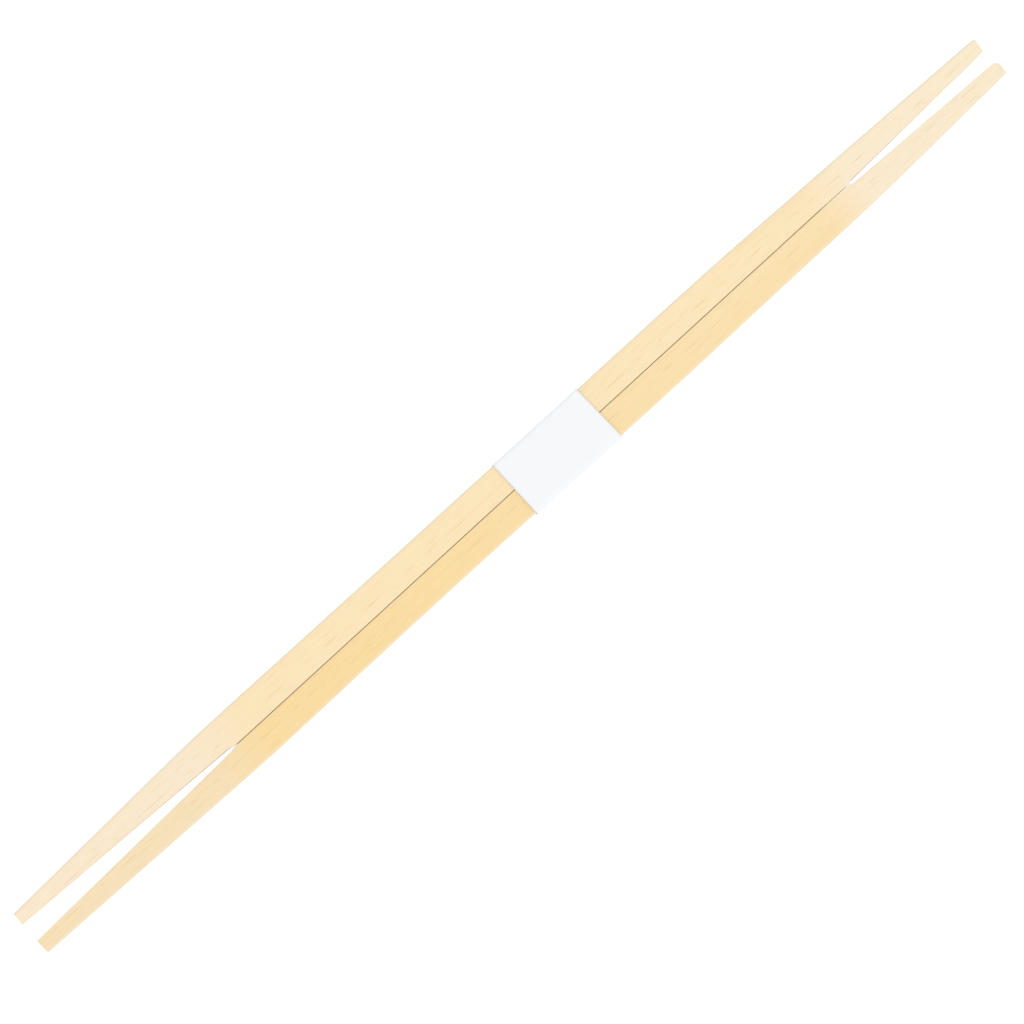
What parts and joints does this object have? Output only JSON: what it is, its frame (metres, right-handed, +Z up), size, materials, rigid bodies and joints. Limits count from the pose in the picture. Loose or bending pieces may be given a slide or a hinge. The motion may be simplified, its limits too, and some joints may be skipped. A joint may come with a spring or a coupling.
{
  "type": "disposable chopsticks",
  "caption": "Pair of disposable bamboo chopsticks, tapered at both ends and eased along every edge, held side by side by a plain glued paper band.",
  "frame": {"origin": "under the middle of the pair, on the surface that it lies on", "axes": "+X along the sticks, towards the ends that the band is nearer to; +Y across the pair, towards back_chopstick; +Z up, away from the surface"},
  "size_m": [0.2399, 0.0123, 0.005],
  "materials": {
    "bamboo": "matte",
    "white_paper": "matte"
  },
  "bodies": {
    "root": {"back_chopstick": "bamboo", "front_chopstick": "bamboo", "paper_band": "white_paper"}
  },
  "joints": []
}
